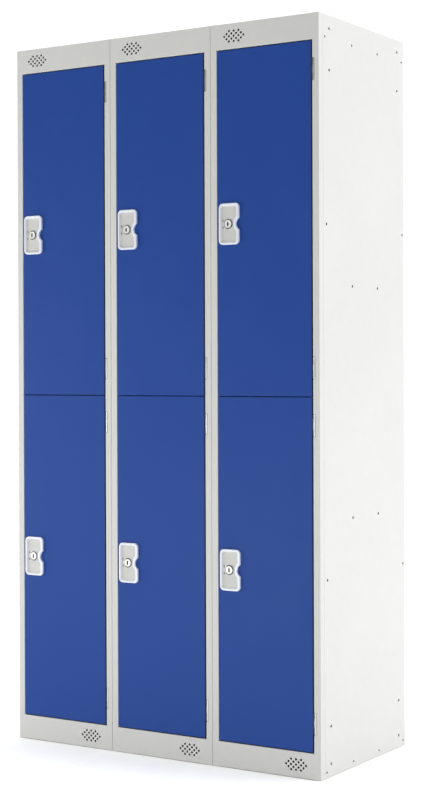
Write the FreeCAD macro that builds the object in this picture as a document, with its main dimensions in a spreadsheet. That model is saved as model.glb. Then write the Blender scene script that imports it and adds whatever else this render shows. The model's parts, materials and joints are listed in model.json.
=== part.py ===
import FreeCAD, Part
import os
import Sketcher
from FreeCAD import Vector

# School locker: a nest of three two-tier steel lockers with six hinged doors.
#
# Millimetres, +Z up, the doors face -Y, X runs across the nest.  The origin is the
# bottom centre of the whole object's box.  Inside a column, x runs from the column's
# left face, y runs back from the plane of the front frame, and z runs up from the floor.

DIMENSIONS = [
    # the nest
    ("column_count", 3),
    ("column_width", 300),
    ("locker_depth", 450),
    ("locker_height", 1800),
    # folded sheet of the frame
    ("frame_gauge", 0.8),
    ("bend_inside", 1.0),
    ("bend_outside", 1.8),
    ("fit_gap", 0.1),
    ("stile_width", 18),
    ("stile_return", 19.6),
    ("strike_lip", 12),
    ("tongue_front", 8),
    ("back_flange", 20),
    ("back_inset", 2),
    ("rail_height", 62),
    ("rail_return", 15),
    ("side_setback", 21),
    ("shelf_top", 900),
    ("shelf_flange", 25),
    # round vents in the rails, in a staggered cluster
    ("vent_radius", 2.8),
    ("vent_pitch", 13.5),
    ("vent_row", 6.2),
    ("vent_inset", 67),
    ("vent_centre", 31),
    # rivets and bolt holes in the side panels
    ("rivet_radius", 3),
    ("rivet_head", 4),
    ("rivet_first", 30),
    ("rivet_pitch", 136),
    ("rivet_rows", 4),
    ("rivet_top_drop", 53),
    ("rivet_base_rise", 14),
    ("nest_hole", 3.5),
    ("nest_front", 51),
    ("nest_pitch", 362),
    ("nest_outer", 31),
    ("nest_inner_top", 129),
    ("nest_inner_base", 120),
    ("spare_hole", 3.3),
    ("spare_wide_front", 36),
    ("spare_wide_pitch", 404),
    ("spare_wide_top", 1307),
    ("spare_wide_base", 467),
    ("spare_near_front", 166),
    ("spare_near_pitch", 135),
    ("spare_near_top", 1165),
    ("spare_near_base", 605),
    # nest bolt, M6
    ("bolt_radius", 3),
    ("bolt_head_radius", 5.77),
    ("bolt_head", 4),
    ("bolt_grip", 8.6),
    ("nut_height", 5),
    # doors
    ("door_gauge", 0.9),
    ("door_depth", 17),
    ("door_lip", 12),
    ("gap_lock", 2.5),
    ("gap_hinge", 3),
    ("gap_end", 2.5),
    ("gap_middle", 1.6),
    ("door_bend_outside", 1.5),
    ("door_bend_inside", 0.6),
    ("stiffener_centre", 170),
    ("stiffener_half", 20),
    ("stiffener_foot", 12),
    ("stiffener_depth", 14),
    ("stiffener_end", 20),
    # hinges, two on each door
    ("hinge_inset", 67),
    ("hinge_length", 50),
    ("hinge_into_stile", 3),
    ("hinge_back", 2.6),
    ("knuckle_radius", 2.5),
    ("knuckle_length", 16),
    ("knuckle_gap", 0.5),
    ("leaf_gauge", 1),
    ("leaf_depth", 15),
    ("pin_radius", 1.25),
    ("pin_clearance", 0.05),
    ("pin_head_radius", 2.2),
    ("pin_head", 0.8),
    ("notch_margin", 0.7),
    ("notch_depth", 8),
    # escutcheon
    ("plate_width", 57),
    ("plate_height", 100),
    ("plate_proud", 6),
    ("plate_floor", 2),
    ("plate_rim", 5.5),
    ("plate_corner", 11),
    ("grip_radius", 16.5),
    ("grip_depth", 8.2),
    # cam lock
    ("lock_from_edge", 31),
    ("lock_in_plate", 25.5),
    ("lock_drop", 2),
    ("barrel_radius", 9),
    ("barrel_length", 18),
    ("barrel_head_radius", 13),
    ("barrel_head", 1.2),
    ("plug_radius", 6),
    ("plug_face_radius", 9.8),
    ("plug_face", 1),
    ("plug_end", 20.2),
    ("drive_half", 3.5),
    ("drive_end", 22.5),
    ("key_slot_width", 2.2),
    ("key_slot_height", 9),
    ("key_slot_depth", 5),
    ("lock_nut_radius", 13.5),
    ("lock_nut", 4.5),
    ("run_clearance", 0.05),
    ("cam_length", 42),
    ("cam_half_width", 8),
    ("cam_front", 20.4),
    ("cam_gauge", 2),
    ("cam_screw_radius", 2),
    ("cam_screw_depth", 7),
    ("cam_screw_head", 5),
    # rubber door buffers, two on each lock-side strike
    ("buffer_from_end", 150),
    ("buffer_radius", 4.5),
    ("buffer_stem", 2),
    ("buffer_tail", 3),
    ("buffer_gap", 0.3),
    ("buffer_tail_length", 1.4),
    # double coat hook under the top of each compartment
    ("hook_plate_width", 50),
    ("hook_plate_depth", 20),
    ("hook_plate", 1.5),
    ("hook_wire", 2.5),
    ("hook_spacing", 10),
    ("hook_drop", 28),
    ("hook_bend", 12),
    ("hook_tip", 12),
]

# Formulas that several sub-parts share.
FRONT = "(Size.plate_proud - Size.locker_depth) / 2"
OPENING_RIGHT = "Size.column_width - Size.stile_width"
DOOR_LEFT = "Size.stile_width + Size.gap_lock"
DOOR_RIGHT = "Size.column_width - Size.stile_width - Size.gap_hinge"
DOOR_HEIGHT = "(Size.locker_height - 2 * Size.rail_height - 2 * Size.gap_end - Size.gap_middle) / 2"
DOOR_PITCH = f"{DOOR_HEIGHT} + Size.gap_middle"
LOWER_DOOR = "Size.rail_height + Size.gap_end"
BACK_FACE = "Size.locker_depth - Size.frame_gauge"
BACK_PANEL_FRONT = "Size.locker_depth - 2 * Size.frame_gauge"
HINGE_X = "Size.column_width - Size.stile_width + Size.hinge_into_stile"
HINGE_SPREAD = f"{DOOR_HEIGHT} - 2 * Size.hinge_inset"
HINGE_START = "Size.hinge_inset - Size.hinge_length / 2"
LOCK_X = f"{DOOR_LEFT} + Size.lock_from_edge"
LOCK_Z = f"({DOOR_HEIGHT}) / 2 - Size.lock_drop"
BUFFER_X = "Size.stile_width + Size.strike_lip * 0.6"
LEAF_FRONT = "Size.hinge_back + Size.knuckle_radius - Size.leaf_gauge"
LEAF_BACK = "Size.hinge_back + Size.knuckle_radius"
MIDDLE_LOW = "Size.knuckle_length + Size.knuckle_gap"
MIDDLE_HIGH = "Size.hinge_length - Size.knuckle_length - Size.knuckle_gap"
TRAY_TOP = "Size.rail_height - Size.frame_gauge"
TRAY_LEFT = "Size.frame_gauge + Size.fit_gap"
TRAY_RIGHT = f"Size.column_width - ({TRAY_LEFT})"

# How far each tier's door stands above the lower door.
TIERS = {"lower": "0", "upper": DOOR_PITCH}

# Rows of repeated pieces: direction, whole length of the row, number in it.
ACROSS_COLUMNS = ("X", "Size.column_width * (Size.column_count - 1)", "Size.column_count")
HINGE_ROWS = [("Z", HINGE_SPREAD, "2"), ("Z", DOOR_PITCH, "2"), ACROSS_COLUMNS]
NEST_ROWS = [("Y", "Size.nest_pitch", "2"),
             ("Z", "Size.locker_height - Size.nest_inner_top - Size.nest_inner_base", "2"),
             ("X", "Size.column_width * (Size.column_count - 2)", "Size.column_count - 1")]

# Which way an origin plane's normal points along its axis.
NORMAL_SIGN = {"XY_Plane": 1, "XZ_Plane": -1, "YZ_Plane": 1}
TOLERANCE = 1e-4

doc = FreeCAD.newDocument("SchoolLocker")
size = doc.addObject("Spreadsheet::Sheet", "Size")


def fill_sheet():
    """Write the driving dimensions into the sheet, one row each."""
    for row, (alias, value) in enumerate(DIMENSIONS, 1):
        size.set(f"A{row}", alias)
        size.set(f"B{row}", str(value))
        size.setAlias(f"B{row}", alias)
    doc.recompute()


def number(formula):
    """The number that a sheet formula stands for."""
    return float(size.evalExpression(formula))


# --- sketches and features -------------------------------------------------------------

def place(piece, x, z="0"):
    """Put a piece at x and z in the nest, with its y measured from the front frame."""
    piece.setExpression("Placement.Base.x", x)
    piece.setExpression("Placement.Base.y", FRONT)
    piece.setExpression("Placement.Base.z", z)


def column_x(column):
    """Formula for the left face of a column, counted from 0."""
    return f"Size.column_width * ({column} - Size.column_count / 2)"


def new_body(label, x, z="0"):
    body = doc.addObject("PartDesign::Body", label)
    body.Label = label
    place(body, x, z)
    return body


def origin_feature(body, role):
    return next(f for f in body.Origin.OriginFeatures if f.Role == role)


def new_sketch(body, plane, at="0"):
    """A sketch on an origin plane of the body, moved to `at` along the row's own axis."""
    sketch = body.newObject("Sketcher::SketchObject", f"{body.Name}_sketch")
    sketch.AttachmentSupport = [(origin_feature(body, plane), "")]
    sketch.MapMode = "FlatFace"
    sketch.setExpression("AttachmentOffset.Base.z", f"{NORMAL_SIGN[plane]} * ({at})")
    return sketch


def constrain(sketch, kind, geometry, position, formula):
    """Tie one coordinate of a point to a formula, measured from the sketch's origin."""
    constraint = Sketcher.Constraint(kind, -1, 1, geometry, position, number(formula))
    index = sketch.addConstraint(constraint)
    sketch.setExpression(f"Constraints[{index}]", formula)


def constrain_point(sketch, geometry, position, across, up):
    constrain(sketch, "DistanceX", geometry, position, across)
    constrain(sketch, "DistanceY", geometry, position, up)


def polygon(sketch, corners):
    """A closed outline through corners, each a pair of formulas."""
    points = [Vector(number(across), number(up), 0) for across, up in corners]
    first = sketch.GeometryCount
    for point, following in zip(points, points[1:] + points[:1]):
        sketch.addGeometry(Part.LineSegment(point, following))
    for step, (across, up) in enumerate(corners):
        line = first + step
        following = first + (step + 1) % len(corners)
        sketch.addConstraint(Sketcher.Constraint("Coincident", line, 2, following, 1))
        constrain_point(sketch, line, 1, across, up)


def rectangle(sketch, left, bottom, right, top):
    polygon(sketch, [(left, bottom), (right, bottom), (right, top), (left, top)])


def circle(sketch, across, up, radius):
    centre = Vector(number(across), number(up), 0)
    index = sketch.addGeometry(Part.Circle(centre, Vector(0, 0, 1), number(radius)))
    constrain_point(sketch, index, 3, across, up)
    constraint = sketch.addConstraint(Sketcher.Constraint("Radius", index, number(radius)))
    sketch.setExpression(f"Constraints[{constraint}]", radius)


def pad(body, sketch, length):
    """Grow the sketch along +X, +Y or +Z."""
    feature = body.newObject("PartDesign::Pad", f"{body.Name}_pad")
    feature.Profile = sketch
    feature.setExpression("Length", length)
    feature.Reversed = sketch.AttachmentSupport[0][0].Role == "XZ_Plane"
    return feature


def pocket(body, sketch, length):
    """Cut the sketch along +X, +Y or +Z."""
    feature = body.newObject("PartDesign::Pocket", f"{body.Name}_pocket")
    feature.Profile = sketch
    feature.setExpression("Length", length)
    feature.Reversed = sketch.AttachmentSupport[0][0].Role != "XZ_Plane"
    return feature


def edges_along(shape, axis, places):
    """Names of straight edges along an axis whose middle lies at one of the places."""
    spots = [{name: number(formula) for name, formula in spot.items()} for spot in places]
    names = []
    for index, edge in enumerate(shape.Edges, 1):
        if not isinstance(edge.Curve, Part.Line):
            continue
        if abs(getattr(edge.Curve.Direction, axis)) < 1 - TOLERANCE:
            continue
        middle = edge.CenterOfMass
        if any(all(abs(getattr(middle, name) - wanted) < TOLERANCE
                   for name, wanted in spot.items()) for spot in spots):
            names.append(f"Edge{index}")
    return names


def fillet(body, base, radius, axis, places):
    """Round the edges of the base feature along an axis at the given places."""
    doc.recompute()
    names = edges_along(base.Shape, axis, places)
    if len(names) < len(places):
        raise ValueError(f"{body.Label}: {len(names)} edges found for {len(places)} bends")
    feature = body.newObject("PartDesign::Fillet", f"{body.Name}_fillet")
    feature.Base = (base, names)
    feature.setExpression("Radius", radius)
    return feature


def repeat(body, steps):
    """Repeat the whole body; each step is an axis, the spread and the number of copies."""
    feature = body.newObject("PartDesign::MultiTransform", f"{body.Name}_copies")
    feature.TransformMode = "Whole shape"
    patterns = []
    for axis, spread, count in steps:
        pattern = body.newObject("PartDesign::LinearPattern", f"{body.Name}_{axis}_row")
        pattern.Direction = (origin_feature(body, f"{axis}_Axis"), [""])
        pattern.setExpression("Length", spread)
        pattern.setExpression("Occurrences", count)
        patterns.append(pattern)
    feature.Transformations = patterns
    body.Tip = feature
    return feature


def group(label, members):
    """Several separate solids kept under one name."""
    compound = doc.addObject("Part::Compound", label)
    compound.Label = label
    compound.Links = members
    return compound


# --- frame -----------------------------------------------------------------------------

def inward(hand):
    """A function giving x for a distance in from a column's left or right face."""
    def x(distance):
        return distance if hand == "left" else f"Size.column_width - ({distance})"
    return x


def side_panel(label, column, hand):
    """Side sheet with a back flange and, at the front, a joggled tongue behind the stile's leg."""
    x = inward(hand)
    gauge = "Size.frame_gauge"
    tongue_outside = "Size.frame_gauge + Size.fit_gap"
    tongue_inside = "2 * Size.frame_gauge + Size.fit_gap"
    joggle_front = "Size.stile_return + Size.fit_gap"
    joggle_back = f"{joggle_front} + {tongue_outside}"
    slant = "Size.frame_gauge * tan(22.5)"
    body = new_body(label, column_x(column))
    sketch = new_sketch(body, "XY_Plane")
    polygon(sketch, [(x("0"), joggle_back), (x(tongue_outside), joggle_front),
                     (x(tongue_outside), "Size.tongue_front"),
                     (x(tongue_inside), "Size.tongue_front"),
                     (x(tongue_inside), f"{joggle_front} + {slant}"),
                     (x(gauge), f"{joggle_back} + {slant}"), (x(gauge), BACK_FACE),
                     (x("Size.back_flange"), BACK_FACE),
                     (x("Size.back_flange"), "Size.locker_depth"),
                     (x("0"), "Size.locker_depth")])
    folded = pad(body, sketch, "Size.locker_height")
    folded = fillet(body, folded, "Size.bend_outside", "z",
                    [{"x": x("0"), "y": "Size.locker_depth"}])
    fillet(body, folded, "Size.bend_inside", "z", [{"x": x(gauge), "y": BACK_FACE}])
    lower_under_top(body, x)
    drill_side(body, hand)
    return body


def stiles(label, hand):
    """The front upright of each column: side leg, face, return and strike lip in one fold."""
    x = inward(hand)
    gauge = "Size.frame_gauge"
    stile = "Size.stile_width"
    inner_return = "Size.stile_width - Size.frame_gauge"
    lip_front = "Size.stile_return - Size.frame_gauge"
    lip_end = "Size.stile_width + Size.strike_lip"
    body = new_body(label, column_x(0))
    sketch = new_sketch(body, "XY_Plane")
    polygon(sketch, [(x("0"), "0"), (x(stile), "0"), (x(stile), lip_front),
                     (x(lip_end), lip_front), (x(lip_end), "Size.stile_return"),
                     (x(inner_return), "Size.stile_return"), (x(inner_return), gauge),
                     (x(gauge), gauge), (x(gauge), "Size.stile_return"),
                     (x("0"), "Size.stile_return")])
    folded = pad(body, sketch, "Size.locker_height")
    outside = [(x("0"), "0"), (x(stile), "0"), (x(inner_return), "Size.stile_return")]
    inside = [(x(gauge), gauge), (x(inner_return), gauge), (x(stile), lip_front)]
    folded = fillet(body, folded, "Size.bend_outside", "z",
                    [{"x": across, "y": back} for across, back in outside])
    fillet(body, folded, "Size.bend_inside", "z",
           [{"x": across, "y": back} for across, back in inside])
    stop_lip_at_rails(body, x)
    lower_under_top(body, x)
    if hand == "left":
        drill_strike(body)
    else:
        notch_hinges(body)
    repeat(body, [ACROSS_COLUMNS])
    return body


def stop_lip_at_rails(body, x):
    end = new_sketch(body, "XZ_Plane", "Size.stile_return - 2 * Size.frame_gauge")
    for low, high in (("-1", "Size.rail_height"),
                      ("Size.locker_height - Size.rail_height", "Size.locker_height + 1")):
        rectangle(end, x("Size.stile_width + Size.fit_gap"), low,
                  x("Size.stile_width + Size.strike_lip + 1"), high)
    pocket(body, end, "3 * Size.frame_gauge")


def lower_under_top(body, x):
    """Let the top panel over the folds at the front of the column."""
    top = new_sketch(body, "XY_Plane", "Size.locker_height - Size.frame_gauge - Size.fit_gap")
    rectangle(top, x("Size.frame_gauge"), "Size.frame_gauge",
              x("Size.stile_width + Size.frame_gauge"), "Size.side_setback")
    pocket(body, top, "2 * Size.frame_gauge")


def drill_side(body, hand):
    """Rivet holes, nest bolt holes and spare holes in one side panel."""
    holes = new_sketch(body, "YZ_Plane", inward(hand)("-Size.frame_gauge"))
    rivet_heights = ("Size.locker_height - Size.rivet_top_drop", "Size.rivet_base_rise")
    for height in rivet_heights:
        for step in range(int(number("Size.rivet_rows"))):
            back = f"Size.rivet_first + {step} * Size.rivet_pitch"
            circle(holes, back, height, "Size.rivet_radius + Size.run_clearance")
    nest_heights = ("Size.locker_height - Size.nest_outer", "Size.nest_outer",
                    "Size.locker_height - Size.nest_inner_top", "Size.nest_inner_base")
    for height in nest_heights:
        for step in range(2):
            circle(holes, f"Size.nest_front + {step} * Size.nest_pitch", height, "Size.nest_hole")
    for name in ("wide", "near"):
        for height in (f"Size.spare_{name}_top", f"Size.spare_{name}_base"):
            for step in range(2):
                back = f"Size.spare_{name}_front + {step} * Size.spare_{name}_pitch"
                circle(holes, back, height, "Size.spare_hole")
    cut = pocket(body, holes, "3 * Size.frame_gauge")
    cut.Reversed = hand == "left"


def notch_hinges(body):
    """Clear the knuckles of both doors' hinges out of the hinge-side stile."""
    notches = new_sketch(body, "XZ_Plane", "-1")
    for door in TIERS.values():
        for step in range(2):
            low = (f"{LOWER_DOOR} + {door} + {HINGE_START} + {step} * ({HINGE_SPREAD})"
                   " - 2 * Size.pin_head")
            rectangle(notches, f"{OPENING_RIGHT} - 1", low,
                      f"{HINGE_X} + Size.knuckle_radius + Size.notch_margin",
                      f"{low} + Size.hinge_length + 4 * Size.pin_head")
    pocket(body, notches, "Size.notch_depth + 1")


def drill_strike(body):
    """Holes for the buffers in the lock-side strike lip."""
    holes = new_sketch(body, "XZ_Plane", "Size.stile_return - 2 * Size.frame_gauge")
    for door in TIERS.values():
        for height in ("Size.buffer_from_end", f"{DOOR_HEIGHT} - Size.buffer_from_end"):
            circle(holes, BUFFER_X, f"{LOWER_DOOR} + {door} + {height}",
                   "Size.buffer_stem + Size.run_clearance")
    pocket(body, holes, "3 * Size.frame_gauge")


def back_panel(label, column):
    body = new_body(label, column_x(column))
    sketch = new_sketch(body, "XY_Plane")
    rectangle(sketch, "Size.back_inset", BACK_PANEL_FRONT,
              "Size.column_width - Size.back_inset", BACK_FACE)
    pad(body, sketch, "Size.locker_height")
    return body


def rail_tray(label, column, base, top_cover):
    """Flat panel turned down all round, whose front flange is the rail with its vents."""
    body = new_body(label, column_x(column), base)
    rail_left = "Size.stile_width + Size.fit_gap"
    rail_right = f"Size.column_width - ({rail_left})"
    corner = "Size.bend_inside + 3 * Size.fit_gap"
    if top_cover:
        front = [(rail_right, "0"), (rail_right, "Size.frame_gauge + Size.fit_gap"),
                 (f"{TRAY_RIGHT} - ({corner})", "Size.frame_gauge + Size.fit_gap"),
                 (TRAY_RIGHT, f"Size.frame_gauge + {corner}")]
        tail = [(TRAY_LEFT, f"Size.frame_gauge + {corner}"),
                (f"{TRAY_LEFT} + {corner}", "Size.frame_gauge + Size.fit_gap"),
                (rail_left, "Size.frame_gauge + Size.fit_gap")]
    else:
        front = [(rail_right, "0"), (rail_right, "Size.side_setback"),
                 (TRAY_RIGHT, "Size.side_setback")]
        tail = [(TRAY_LEFT, "Size.side_setback"), (rail_left, "Size.side_setback")]
    panel = new_sketch(body, "XY_Plane", TRAY_TOP)
    polygon(panel, [(rail_left, "0")] + front
            + [(TRAY_RIGHT, BACK_PANEL_FRONT), (TRAY_LEFT, BACK_PANEL_FRONT)] + tail)
    pad(body, panel, "Size.frame_gauge")
    rail = new_sketch(body, "YZ_Plane", rail_left)
    polygon(rail, [("0", "0"), ("Size.rail_return", "0"), ("Size.rail_return", "Size.frame_gauge"),
                   ("Size.frame_gauge", "Size.frame_gauge"),
                   ("Size.frame_gauge", "Size.rail_height"), ("0", "Size.rail_height")])
    pad(body, rail, f"{rail_right} - ({rail_left})")
    folded = turned_down_sides(body, TRAY_TOP, "0")
    folded = fillet(body, folded, "Size.bend_outside", "x",
                    [{"y": "0", "z": "0"}, {"y": "0", "z": "Size.rail_height"}])
    fillet(body, folded, "Size.bend_inside", "x",
           [{"y": "Size.frame_gauge", "z": "Size.frame_gauge"},
            {"y": "Size.frame_gauge", "z": TRAY_TOP}])
    vent_cluster(body, top_cover)
    drill_tray(body, top_cover)
    return body


def turned_down_sides(body, top, base):
    """Left, right and back flanges of a tray or shelf, from base up to its panel."""
    gauge = "Size.frame_gauge"
    flanges = new_sketch(body, "XY_Plane", base)
    polygon(flanges, [(TRAY_LEFT, "Size.side_setback"),
                      (f"{TRAY_LEFT} + {gauge}", "Size.side_setback"),
                      (f"{TRAY_LEFT} + {gauge}", f"{BACK_PANEL_FRONT} - {gauge}"),
                      (f"{TRAY_RIGHT} - {gauge}", f"{BACK_PANEL_FRONT} - {gauge}"),
                      (f"{TRAY_RIGHT} - {gauge}", "Size.side_setback"),
                      (TRAY_RIGHT, "Size.side_setback"),
                      (TRAY_RIGHT, BACK_PANEL_FRONT), (TRAY_LEFT, BACK_PANEL_FRONT)])
    return pad(body, flanges, f"{top} - ({base})")


def vent_cluster(body, top_cover):
    """Staggered rows of 3, 4, 5, 4 and 3 round vents: left on the top rail, right below."""
    centre = "Size.vent_inset" if top_cover else "Size.column_width - Size.vent_inset"
    vents = new_sketch(body, "XZ_Plane", "-1")
    for row, count in enumerate((3, 4, 5, 4, 3)):
        for step in range(count):
            across = f"{centre} + ({step} - {count - 1} / 2) * Size.vent_pitch"
            circle(vents, across, f"Size.vent_centre + ({row} - 2) * Size.vent_row",
                   "Size.vent_radius")
    pocket(body, vents, "2 * Size.frame_gauge + 1")


def drill_tray(body, top_cover):
    """Rivet and nest bolt holes through both side flanges of a rail tray."""
    top_rise = "Size.rail_height - Size.rivet_top_drop"
    holes = new_sketch(body, "YZ_Plane", "-1")
    for step in range(int(number("Size.rivet_rows"))):
        circle(holes, f"Size.rivet_first + {step} * Size.rivet_pitch",
               top_rise if top_cover else "Size.rivet_base_rise",
               "Size.rivet_radius + Size.run_clearance")
    for step in range(2):
        circle(holes, f"Size.nest_front + {step} * Size.nest_pitch",
               "Size.rail_height - Size.nest_outer" if top_cover else "Size.nest_outer",
               "Size.nest_hole")
    pocket(body, holes, "Size.column_width + 2")


def shelf(label, column):
    """Shelf panel turned down on all four sides."""
    body = new_body(label, column_x(column))
    under = "Size.shelf_top - Size.frame_gauge"
    base = "Size.shelf_top - Size.shelf_flange"
    panel = new_sketch(body, "XY_Plane", under)
    rectangle(panel, TRAY_LEFT, "Size.side_setback", TRAY_RIGHT, BACK_PANEL_FRONT)
    pad(body, panel, "Size.frame_gauge")
    turned_down_sides(body, under, base)
    front = new_sketch(body, "XY_Plane", base)
    rectangle(front, TRAY_LEFT, "Size.side_setback",
              TRAY_RIGHT, "Size.side_setback + Size.frame_gauge")
    folded = pad(body, front, f"{under} - ({base})")
    fillet(body, folded, "Size.bend_outside", "x",
           [{"y": "Size.side_setback", "z": "Size.shelf_top"}])
    return body


# --- doors -----------------------------------------------------------------------------

def door_pan(label, column, base):
    """Flush door skin with four returns and a lip behind each long return."""
    body = new_body(label, column_x(column), base)
    gauge = "Size.door_gauge"
    skin = new_sketch(body, "XZ_Plane")
    rectangle(skin, DOOR_LEFT, "0", DOOR_RIGHT, DOOR_HEIGHT)
    pad(body, skin, gauge)
    returns = new_sketch(body, "XZ_Plane")
    rectangle(returns, DOOR_LEFT, "0", DOOR_RIGHT, DOOR_HEIGHT)
    rectangle(returns, f"{DOOR_LEFT} + {gauge}", gauge,
              f"{DOOR_RIGHT} - {gauge}", f"{DOOR_HEIGHT} - {gauge}")
    pad(body, returns, "Size.door_depth")
    lips = new_sketch(body, "XZ_Plane", f"Size.door_depth - {gauge}")
    rectangle(lips, DOOR_LEFT, "0", f"{DOOR_LEFT} + Size.door_lip", DOOR_HEIGHT)
    rectangle(lips, f"{DOOR_RIGHT} - Size.door_lip", "0", DOOR_RIGHT, DOOR_HEIGHT)
    folded = pad(body, lips, gauge)
    for radius, inset in (("Size.door_bend_outside", "0"), ("Size.door_bend_inside", gauge)):
        doc.recompute()
        level = [{"x": f"{DOOR_LEFT} + {inset}", "y": inset},
                 {"x": f"{DOOR_RIGHT} - {inset}", "y": inset}]
        upright = [{"z": inset, "y": inset}, {"z": f"{DOOR_HEIGHT} - {inset}", "y": inset}]
        names = edges_along(folded.Shape, "z", level) + edges_along(folded.Shape, "x", upright)
        rounded = body.newObject("PartDesign::Fillet", f"{body.Name}_fillet")
        rounded.Base = (folded, names)
        rounded.setExpression("Radius", radius)
        folded = rounded
    hole = new_sketch(body, "XZ_Plane", "-1")
    circle(hole, LOCK_X, LOCK_Z, "Size.barrel_radius + 2 * Size.run_clearance")
    pocket(body, hole, f"{gauge} + 2")
    return body


def door_stiffener(label, column, base):
    """Top-hat channel up the back of the door skin."""
    body = new_body(label, column_x(column), base)
    gauge = "Size.frame_gauge"
    skin = "Size.door_gauge"
    top = f"{skin} + Size.stiffener_depth"
    left = "Size.stiffener_centre - Size.stiffener_half"
    right = "Size.stiffener_centre + Size.stiffener_half"
    hat = new_sketch(body, "XY_Plane", "Size.stiffener_end")
    polygon(hat, [(f"{left} - Size.stiffener_foot", skin), (f"{left} + {gauge}", skin),
                  (f"{left} + {gauge}", f"{top} - {gauge}"),
                  (f"{right} - {gauge}", f"{top} - {gauge}"), (f"{right} - {gauge}", skin),
                  (f"{right} + Size.stiffener_foot", skin),
                  (f"{right} + Size.stiffener_foot", f"{skin} + {gauge}"),
                  (right, f"{skin} + {gauge}"), (right, top), (left, top),
                  (left, f"{skin} + {gauge}"),
                  (f"{left} - Size.stiffener_foot", f"{skin} + {gauge}")])
    pad(body, hat, f"{DOOR_HEIGHT} - 2 * Size.stiffener_end")
    return body


def primitive(kind, name, **formulas):
    """A Part primitive whose sizes are bound to formulas."""
    shape = doc.addObject(f"Part::{kind}", name)
    for prop, formula in formulas.items():
        shape.setExpression(prop.replace("_", "."), formula)
    return shape


def boolean(kind, name, base, tool):
    result = doc.addObject(f"Part::{kind}", name)
    result.Base = base
    result.Tool = tool
    return result


def rounded_block(name, inset, depth, radius, across):
    """Block with four rounded edges, inset from the escutcheon's outline."""
    block = primitive("Box", f"{name}_block", Length=f"Size.plate_width - 2 * {inset}",
                      Width=depth, Height=f"Size.plate_height - 2 * {inset}")
    block.setExpression("Placement.Base.x", f"{LOCK_X} - Size.lock_in_plate + {inset}")
    block.setExpression("Placement.Base.y", "-Size.plate_proud")
    block.setExpression("Placement.Base.z", f"{LOCK_Z} - Size.plate_height / 2 + {inset}")
    doc.recompute()
    rounded = doc.addObject("Part::Fillet", f"{name}_rounded")
    rounded.Base = block
    rounded.Edges = [(int(edge[4:]), number(radius), number(radius))
                     for edge in edges_along(block.Shape, "y", [{}])]
    grip = lock_cylinder(f"{name}_grip", across, "-Size.plate_proud - 1", depth + " + 2")
    grip.setExpression("Placement.Base.x", f"{LOCK_X} - Size.lock_in_plate + Size.plate_width"
                       " - Size.grip_depth + Size.grip_radius")
    return boolean("Cut", f"{name}_notched", rounded, grip)


def lock_cylinder(name, radius, front, length):
    """Cylinder along Y on the lock's axis, from the depth `front` backwards."""
    cylinder = primitive("Cylinder", name, Radius=radius, Height=length)
    cylinder.Placement.Rotation = FreeCAD.Rotation(Vector(1, 0, 0), -90)
    cylinder.setExpression("Placement.Base.x", LOCK_X)
    cylinder.setExpression("Placement.Base.y", front)
    cylinder.setExpression("Placement.Base.z", LOCK_Z)
    return cylinder


def escutcheon(label, column, base):
    """Rounded plate with a raised rim, a dish, a finger notch and a bore for the lock."""
    plate = rounded_block(f"{label}_plate", "0", "Size.plate_proud", "Size.plate_corner",
                          "Size.grip_radius")
    dish = rounded_block(f"{label}_dish", "Size.plate_rim", "Size.plate_proud - Size.plate_floor",
                         "Size.plate_corner - Size.plate_rim",
                         "Size.grip_radius + Size.plate_rim")
    dished = boolean("Cut", f"{label}_dished", plate, dish)
    bore = lock_cylinder(f"{label}_bore", "Size.barrel_radius + 2 * Size.run_clearance",
                         "-Size.plate_proud", "Size.plate_proud")
    bored = boolean("Cut", label, dished, bore)
    bored.Label = label
    place(bored, column_x(column), base)
    return bored


def turned(label, column, base, profile):
    """Body turned about the lock's axis from pairs of radius and depth."""
    body = new_body(label, f"{column_x(column)} + {LOCK_X}", f"{base} + {LOCK_Z}")
    sketch = new_sketch(body, "XY_Plane")
    polygon(sketch, profile)
    turn = body.newObject("PartDesign::Revolution", f"{label}_turned")
    turn.Profile = sketch
    turn.ReferenceAxis = (sketch, ["V_Axis"])
    turn.Angle = 360
    return body


def lock_barrel(label, column, base):
    """Lock housing through the door, and the hexagon nut that holds it from behind."""
    bore = "Size.plug_radius + Size.run_clearance"
    front = "-Size.plate_floor - Size.barrel_head"
    housing = turned(f"{label}_housing", column, base, [
        (bore, front), ("Size.barrel_head_radius", front),
        ("Size.barrel_head_radius", "-Size.plate_floor"),
        ("Size.barrel_radius", "-Size.plate_floor"), ("Size.barrel_radius", "Size.barrel_length"),
        (bore, "Size.barrel_length")])
    nut = new_body(f"{label}_nut", f"{column_x(column)} + {LOCK_X}", f"{base} + {LOCK_Z}")
    sketch = new_sketch(nut, "XZ_Plane", "Size.door_gauge")
    hexagon(sketch, "Size.lock_nut_radius")
    circle(sketch, "0", "0", "Size.barrel_radius + Size.run_clearance")
    pad(nut, sketch, "Size.lock_nut")
    return group(label, [housing, nut])


def hexagon(sketch, radius):
    polygon(sketch, [(f"{radius} * cos({60 * step})", f"{radius} * sin({60 * step})")
                     for step in range(6)])


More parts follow.
